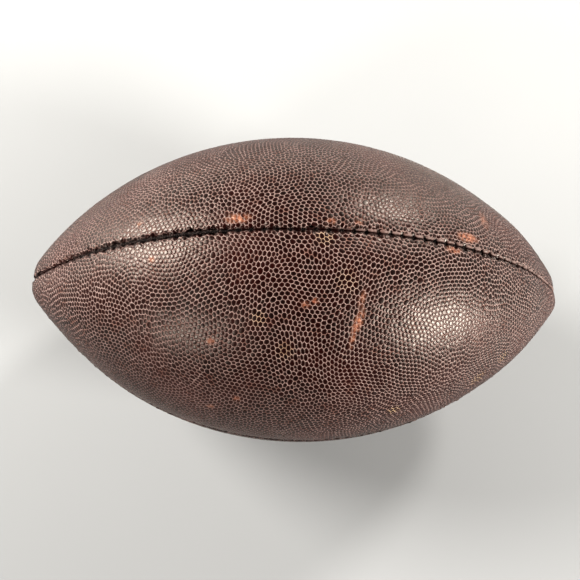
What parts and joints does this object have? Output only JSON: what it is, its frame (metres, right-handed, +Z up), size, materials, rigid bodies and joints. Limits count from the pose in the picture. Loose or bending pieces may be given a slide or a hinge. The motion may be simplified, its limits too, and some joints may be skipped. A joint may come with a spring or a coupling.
{
  "type": "american football",
  "caption": "Inflated pebble-grain leather ball with pointed ends: lined panels, turned in and stitched, laced along one seam over a rubber bladder with a needle valve.",
  "frame": {"origin": "centre of the ball, halfway between its tips on its long axis", "axes": "+X along the long axis from tip to tip, +Z up through the top seam, +Y through the laced seam"},
  "size_m": [0.2876, 0.1682, 0.165],
  "materials": {
    "leather": "pebble-grained, waxed sheen",
    "lining": "glued cotton canvas",
    "thread": "waxed black thread",
    "lace": "coated off-white strap",
    "facing": "rough split leather",
    "guard": "smooth split leather",
    "bladder": "moulded butyl",
    "patch": "rubberised canvas",
    "valve": "moulded rubber"
  },
  "bodies": {
    "root": {"panel_upper_front": "leather", "panel_lower_front": "leather", "panel_upper_back": "leather", "panel_lower_back": "leather", "lining_upper_front": "lining", "lining_lower_front": "lining", "lining_upper_back": "lining", "lining_lower_back": "lining", "seam_thread_top": "thread", "seam_thread_front": "thread", "seam_thread_bottom": "thread", "seam_thread_back_left": "thread", "seam_thread_back_right": "thread", "lace": "lace", "lace_facing_upper": "facing", "lace_facing_lower": "facing", "lace_guard": "guard", "bladder": "bladder", "valve_patch": "patch", "valve_body": "valve"}
  },
  "joints": []
}
